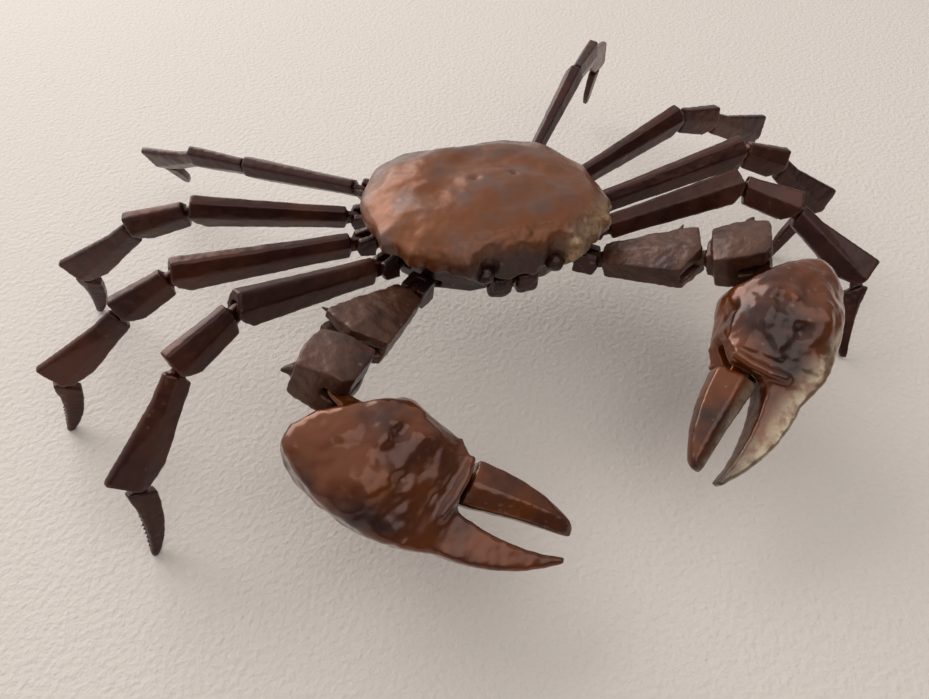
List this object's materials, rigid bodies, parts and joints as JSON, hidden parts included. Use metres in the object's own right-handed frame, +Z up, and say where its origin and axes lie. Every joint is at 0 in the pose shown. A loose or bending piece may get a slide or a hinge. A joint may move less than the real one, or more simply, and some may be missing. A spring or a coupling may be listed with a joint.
{
  "type": "crab figurine",
  "caption": "Articulated crab figurine of riveted patinated copper plates: jointed legs and claws that turn and hold by friction.",
  "frame": {"origin": "on the surface that the feet stand on, under the middle of the whole figure's box", "axes": "+Z up, the crab looks along -Y, +X is the crab's own left"},
  "size_m": [0.1919, 0.1481, 0.0428],
  "materials": {
    "shell": "glossy reddish-brown patina on hammered copper",
    "claws": "glossy reddish-brown patina with worn bright edges",
    "limbs": "dark brown patina with a soft sheen",
    "underside": "dark brown patina",
    "eyes": "dark, worn to gold on the ridges",
    "rivets": "darkened rivet heads"
  },
  "bodies": {
    "body": {"carapace": "shell", "plastron": "underside", "hip_pins": "rivets", "abdomen_flap": "underside", "left_eye": "eyes", "right_eye": "eyes", "left_maxilliped": "underside", "right_maxilliped": "underside"},
    "left_leg_1_coxa": {"left_leg_1_coxa": "limbs"},
    "left_leg_1_merus": {"left_leg_1_merus": "limbs"},
    "left_leg_1_carpus": {"left_leg_1_carpus": "limbs"},
    "left_leg_1_propodus": {"left_leg_1_propodus": "limbs"},
    "left_leg_1_dactyl": {"left_leg_1_dactyl": "limbs"},
    "left_leg_2_coxa": {"left_leg_2_coxa": "limbs"},
    "left_leg_2_merus": {"left_leg_2_merus": "limbs"},
    "left_leg_2_carpus": {"left_leg_2_carpus": "limbs"},
    "left_leg_2_propodus": {"left_leg_2_propodus": "limbs"},
    "left_leg_2_dactyl": {"left_leg_2_dactyl": "limbs"},
    "left_leg_3_coxa": {"left_leg_3_coxa": "limbs"},
    "left_leg_3_merus": {"left_leg_3_merus": "limbs"},
    "left_leg_3_carpus": {"left_leg_3_carpus": "limbs"},
    "left_leg_3_propodus": {"left_leg_3_propodus": "limbs"},
    "left_leg_3_dactyl": {"left_leg_3_dactyl": "limbs"},
    "left_leg_4_coxa": {"left_leg_4_coxa": "limbs"},
    "left_leg_4_merus": {"left_leg_4_merus": "limbs"},
    "left_leg_4_carpus": {"left_leg_4_carpus": "limbs"},
    "left_leg_4_propodus": {"left_leg_4_propodus": "limbs"},
    "left_leg_4_dactyl": {"left_leg_4_dactyl": "limbs"},
    "left_claw_coxa": {"left_claw_coxa": "limbs"},
    "left_claw_merus": {"left_claw_merus": "limbs"},
    "left_claw_carpus": {"left_claw_carpus": "limbs"},
    "left_claw_palm": {"left_claw_palm": "claws"},
    "left_claw_finger": {"left_claw_finger": "claws"},
    "right_leg_1_coxa": {"right_leg_1_coxa": "limbs"},
    "right_leg_1_merus": {"right_leg_1_merus": "limbs"},
    "right_leg_1_carpus": {"right_leg_1_carpus": "limbs"},
    "right_leg_1_propodus": {"right_leg_1_propodus": "limbs"},
    "right_leg_1_dactyl": {"right_leg_1_dactyl": "limbs"},
    "right_leg_2_coxa": {"right_leg_2_coxa": "limbs"},
    "right_leg_2_merus": {"right_leg_2_merus": "limbs"},
    "right_leg_2_carpus": {"right_leg_2_carpus": "limbs"},
    "right_leg_2_propodus": {"right_leg_2_propodus": "limbs"},
    "right_leg_2_dactyl": {"right_leg_2_dactyl": "limbs"},
    "right_leg_3_coxa": {"right_leg_3_coxa": "limbs"},
    "right_leg_3_merus": {"right_leg_3_merus": "limbs"},
    "right_leg_3_carpus": {"right_leg_3_carpus": "limbs"},
    "right_leg_3_propodus": {"right_leg_3_propodus": "limbs"},
    "right_leg_3_dactyl": {"right_leg_3_dactyl": "limbs"},
    "right_leg_4_coxa": {"right_leg_4_coxa": "limbs"},
    "right_leg_4_merus": {"right_leg_4_merus": "limbs"},
    "right_leg_4_carpus": {"right_leg_4_carpus": "limbs"},
    "right_leg_4_propodus": {"right_leg_4_propodus": "limbs"},
    "right_leg_4_dactyl": {"right_leg_4_dactyl": "limbs"},
    "right_claw_coxa": {"right_claw_coxa": "limbs"},
    "right_claw_merus": {"right_claw_merus": "limbs"},
    "right_claw_carpus": {"right_claw_carpus": "limbs"},
    "right_claw_palm": {"right_claw_palm": "claws"},
    "right_claw_finger": {"right_claw_finger": "claws"}
  },
  "joints": [
    {"name": "left_leg_1_hip_swing", "type": "hinge", "parent": "body", "child": "left_leg_1_coxa", "pos_m": [0.02092, -0.00575, 0.02441], "axis": [-0.1045, 0, -0.9945], "range_deg": [-6.5, 8.5]},
    {"name": "left_leg_1_lift", "type": "hinge", "parent": "left_leg_1_coxa", "child": "left_leg_1_merus", "pos_m": [0.02712, -0.00893, 0.02376], "axis": [-0.3217, -0.7473, 0.5815], "range_deg": [-50.77, 6.23]},
    {"name": "left_leg_1_knee", "type": "hinge", "parent": "left_leg_1_merus", "child": "left_leg_1_carpus", "pos_m": [0.0573, -0.01526, 0.03232], "axis": [-0.3217, -0.7473, 0.5815], "range_deg": [-31, 42]},
    {"name": "left_leg_1_shin", "type": "hinge", "parent": "left_leg_1_carpus", "child": "left_leg_1_propodus", "pos_m": [0.06831, -0.023, 0.02846], "axis": [-0.3217, -0.7473, 0.5815], "range_deg": [-48, 25]},
    {"name": "left_leg_1_foot", "type": "hinge", "parent": "left_leg_1_propodus", "child": "left_leg_1_dactyl", "pos_m": [0.08053, -0.03797, 0.01599], "axis": [-0.3217, -0.7473, 0.5815], "range_deg": [-43, 37]},
    {"name": "left_leg_2_hip_swing", "type": "hinge", "parent": "body", "child": "left_leg_2_coxa", "pos_m": [0.02241, 0.00065, 0.02425], "axis": [-0.1045, 0, -0.9945], "range_deg": [-15, 7]},
    {"name": "left_leg_2_lift", "type": "hinge", "parent": "left_leg_2_coxa", "child": "left_leg_2_merus", "pos_m": [0.02927, -0.00057, 0.02353], "axis": [-0.1608, -0.9794, 0.122], "range_deg": [-45.96, 11.04]},
    {"name": "left_leg_2_knee", "type": "hinge", "parent": "left_leg_2_merus", "child": "left_leg_2_carpus", "pos_m": [0.06472, -0.0052, 0.03304], "axis": [-0.1608, -0.9794, 0.122], "range_deg": [-32, 41]},
    {"name": "left_leg_2_shin", "type": "hinge", "parent": "left_leg_2_carpus", "child": "left_leg_2_propodus", "pos_m": [0.07598, -0.00766, 0.0282], "axis": [-0.1608, -0.9794, 0.122], "range_deg": [-51, 22]},
    {"name": "left_leg_2_foot", "type": "hinge", "parent": "left_leg_2_propodus", "child": "left_leg_2_dactyl", "pos_m": [0.09074, -0.01178, 0.01458], "axis": [-0.1608, -0.9794, 0.122], "range_deg": [-13, 67]},
    {"name": "left_leg_3_hip_swing", "type": "hinge", "parent": "body", "child": "left_leg_3_coxa", "pos_m": [0.02082, 0.00725, 0.02442], "axis": [-0.1045, 0, -0.9945], "range_deg": [-13.5, 8.5]},
    {"name": "left_leg_3_lift", "type": "hinge", "parent": "left_leg_3_coxa", "child": "left_leg_3_merus", "pos_m": [0.0277, 0.00834, 0.0237], "axis": [0.1591, -0.9871, 0.0184], "range_deg": [-44.57, 12.43]},
    {"name": "left_leg_3_knee", "type": "hinge", "parent": "left_leg_3_merus", "child": "left_leg_3_carpus", "pos_m": [0.05981, 0.01367, 0.0316], "axis": [0.1591, -0.9871, 0.0184], "range_deg": [-37, 36]},
    {"name": "left_leg_3_shin", "type": "hinge", "parent": "left_leg_3_carpus", "child": "left_leg_3_propodus", "pos_m": [0.07287, 0.01569, 0.02696], "axis": [0.1591, -0.9871, 0.0184], "range_deg": [-62, 11]},
    {"name": "left_leg_3_foot", "type": "hinge", "parent": "left_leg_3_propodus", "child": "left_leg_3_dactyl", "pos_m": [0.09263, 0.01868, 0.01662], "axis": [0.1591, -0.9871, 0.0184], "range_deg": [-17, 63]},
    {"name": "left_leg_4_hip_swing", "type": "hinge", "parent": "body", "child": "left_leg_4_coxa", "pos_m": [0.01744, 0.01385, 0.02478], "axis": [-0.1045, 0, -0.9945], "range_deg": [-7.5, 14.5]},
    {"name": "left_leg_4_lift", "type": "hinge", "parent": "left_leg_4_coxa", "child": "left_leg_4_merus", "pos_m": [0.02236, 0.0188, 0.02426], "axis": [0.6968, -0.7061, -0.1259], "range_deg": [-45, 12]},
    {"name": "left_leg_4_knee", "type": "hinge", "parent": "left_leg_4_merus", "child": "left_leg_4_carpus", "pos_m": [0.04434, 0.039, 0.0326], "axis": [0.6968, -0.7061, -0.1259], "range_deg": [-49, 24]},
    {"name": "left_leg_4_shin", "type": "hinge", "parent": "left_leg_4_carpus", "child": "left_leg_4_propodus", "pos_m": [0.05555, 0.05033, 0.03114], "axis": [0.6968, -0.7061, -0.1259], "range_deg": [-45, 28]},
    {"name": "left_leg_4_foot", "type": "hinge", "parent": "left_leg_4_propodus", "child": "left_leg_4_dactyl", "pos_m": [0.06696, 0.06336, 0.02113], "axis": [0.6968, -0.7061, -0.1259], "range_deg": [-35, 45]},
    {"name": "left_claw_hip_swing", "type": "hinge", "parent": "body", "child": "left_claw_coxa", "pos_m": [0.0166, -0.01065, 0.02255], "axis": [-0.1045, 0, -0.9945], "range_deg": [-3, 9.5]},
    {"name": "left_claw_lift", "type": "hinge", "parent": "left_claw_coxa", "child": "left_claw_merus", "pos_m": [0.02227, -0.01552, 0.02196], "axis": [-0.6459, -0.7604, 0.0679], "range_deg": [-14, 14]},
    {"name": "left_claw_elbow", "type": "hinge", "parent": "left_claw_merus", "child": "left_claw_carpus", "pos_m": [0.03856, -0.02877, 0.02853], "axis": [-0.3166, 0.0799, 0.9452], "range_deg": [-20, 16]},
    {"name": "left_claw_wrist", "type": "hinge", "parent": "left_claw_carpus", "child": "left_claw_palm", "pos_m": [0.04797, -0.03762, 0.03243], "axis": [-0.4133, -0.0385, 0.9098], "range_deg": [-0.5, 31]},
    {"name": "left_claw_pinch", "type": "hinge", "parent": "left_claw_palm", "child": "left_claw_finger", "pos_m": [0.03306, -0.05486, 0.02493], "axis": [-0.0158, 0.4106, -0.9117], "range_deg": [-5, 14]},
    {"name": "right_leg_1_hip_swing", "type": "hinge", "parent": "body", "child": "right_leg_1_coxa", "pos_m": [-0.01747, -0.00575, 0.02845], "axis": [0.1045, 0, 0.9945], "range_deg": [-8.5, 3]},
    {"name": "right_leg_1_lift", "type": "hinge", "parent": "right_leg_1_coxa", "child": "right_leg_1_merus", "pos_m": [-0.02392, -0.00837, 0.02912], "axis": [-0.3861, 0.9069, -0.1685], "range_deg": [-36.61, 20.39]},
    {"name": "right_leg_1_knee", "type": "hinge", "parent": "right_leg_1_merus", "child": "right_leg_1_carpus", "pos_m": [-0.05267, -0.01887, 0.03848], "axis": [-0.3861, 0.9069, -0.1685], "range_deg": [-37, 36]},
    {"name": "right_leg_1_shin", "type": "hinge", "parent": "right_leg_1_carpus", "child": "right_leg_1_propodus", "pos_m": [-0.06482, -0.02474, 0.03473], "axis": [-0.3861, 0.9069, -0.1685], "range_deg": [-39, 34]},
    {"name": "right_leg_1_foot", "type": "hinge", "parent": "right_leg_1_propodus", "child": "right_leg_1_dactyl", "pos_m": [-0.07821, -0.03351, 0.01822], "axis": [-0.3861, 0.9069, -0.1685], "range_deg": [-64, 16]},
    {"name": "right_leg_2_hip_swing", "type": "hinge", "parent": "body", "child": "right_leg_2_coxa", "pos_m": [-0.01896, 0.00065, 0.0286], "axis": [0.1045, 0, 0.9945], "range_deg": [-7, 15]},
    {"name": "right_leg_2_lift", "type": "hinge", "parent": "right_leg_2_coxa", "child": "right_leg_2_merus", "pos_m": [-0.02592, 0.00041, 0.02933], "axis": [-0.0347, 0.9994, 0.0036], "range_deg": [-26.51, 30.49]},
    {"name": "right_leg_2_knee", "type": "hinge", "parent": "right_leg_2_merus", "child": "right_leg_2_carpus", "pos_m": [-0.06258, -0.00089, 0.03417], "axis": [-0.0347, 0.9994, 0.0036], "range_deg": [-37, 36]},
    {"name": "right_leg_2_shin", "type": "hinge", "parent": "right_leg_2_carpus", "child": "right_leg_2_propodus", "pos_m": [-0.07385, -0.00126, 0.02879], "axis": [-0.0347, 0.9994, 0.0036], "range_deg": [-57, 16]},
    {"name": "right_leg_2_foot", "type": "hinge", "parent": "right_leg_2_propodus", "child": "right_leg_2_dactyl", "pos_m": [-0.08989, -0.00177, 0.01603], "axis": [-0.0347, 0.9994, 0.0036], "range_deg": [-60, 20]},
    {"name": "right_leg_3_hip_swing", "type": "hinge", "parent": "body", "child": "right_leg_3_coxa", "pos_m": [-0.01737, 0.00725, 0.02844], "axis": [0.1045, 0, 0.9945], "range_deg": [-8.5, 13.5]},
    {"name": "right_leg_3_lift", "type": "hinge", "parent": "right_leg_3_coxa", "child": "right_leg_3_merus", "pos_m": [-0.02413, 0.00894, 0.02915], "axis": [0.2587, 0.9415, 0.2161], "range_deg": [-29, 28]},
    {"name": "right_leg_3_knee", "type": "hinge", "parent": "right_leg_3_merus", "child": "right_leg_3_carpus", "pos_m": [-0.05627, 0.01648, 0.0348], "axis": [0.2587, 0.9415, 0.2161], "range_deg": [-43, 30]},
    {"name": "right_leg_3_shin", "type": "hinge", "parent": "right_leg_3_carpus", "child": "right_leg_3_propodus", "pos_m": [-0.06894, 0.02088, 0.0308], "axis": [0.2587, 0.9415, 0.2161], "range_deg": [-46, 27]},
    {"name": "right_leg_3_foot", "type": "hinge", "parent": "right_leg_3_propodus", "child": "right_leg_3_dactyl", "pos_m": [-0.08446, 0.02846, 0.01638], "axis": [0.2587, 0.9415, 0.2161], "range_deg": [-56, 24]},
    {"name": "right_leg_4_hip_swing", "type": "hinge", "parent": "body", "child": "right_leg_4_coxa", "pos_m": [-0.01399, 0.01385, 0.02808], "axis": [0.1045, 0, 0.9945], "range_deg": [-14.5, 7.5]},
    {"name": "right_leg_4_lift", "type": "hinge", "parent": "right_leg_4_coxa", "child": "right_leg_4_merus", "pos_m": [-0.01947, 0.01816, 0.02866], "axis": [0.5568, 0.6375, 0.5325], "range_deg": [-14, 43]},
    {"name": "right_leg_4_knee", "type": "hinge", "parent": "right_leg_4_merus", "child": "right_leg_4_carpus", "pos_m": [-0.04169, 0.03963, 0.02618], "axis": [0.5568, 0.6375, 0.5325], "range_deg": [-69, 4]},
    {"name": "right_leg_4_shin", "type": "hinge", "parent": "right_leg_4_carpus", "child": "right_leg_4_propodus", "pos_m": [-0.05304, 0.05081, 0.02467], "axis": [0.5568, 0.6375, 0.5325], "range_deg": [-48, 25]},
    {"name": "right_leg_4_foot", "type": "hinge", "parent": "right_leg_4_propodus", "child": "right_leg_4_dactyl", "pos_m": [-0.06296, 0.0662, 0.01661], "axis": [0.5568, 0.6375, 0.5325], "range_deg": [-37, 43]},
    {"name": "right_claw_hip_swing", "type": "hinge", "parent": "body", "child": "right_claw_coxa", "pos_m": [-0.01363, -0.01065, 0.02573], "axis": [0.1045, 0, 0.9945], "range_deg": [-3, 12.5]},
    {"name": "right_claw_lift", "type": "hinge", "parent": "right_claw_coxa", "child": "right_claw_merus", "pos_m": [-0.01955, -0.01521, 0.02635], "axis": [-0.6054, 0.7934, 0.0636], "range_deg": [-14, 14]},
    {"name": "right_claw_elbow", "type": "hinge", "parent": "right_claw_merus", "child": "right_claw_carpus", "pos_m": [-0.03595, -0.02826, 0.03305], "axis": [-0.3991, 0.031, -0.9164], "range_deg": [-20, 20]},
    {"name": "right_claw_wrist", "type": "hinge", "parent": "right_claw_carpus", "child": "right_claw_palm", "pos_m": [-0.04183, -0.04022, 0.03521], "axis": [-0.5204, 0.1031, -0.8477], "range_deg": [-20.5, 11]},
    {"name": "right_claw_pinch", "type": "hinge", "parent": "right_claw_palm", "child": "right_claw_finger", "pos_m": [-0.02803, -0.05682, 0.02472], "axis": [0.0926, -0.4757, 0.8747], "range_deg": [-5, 14]}
  ]
}
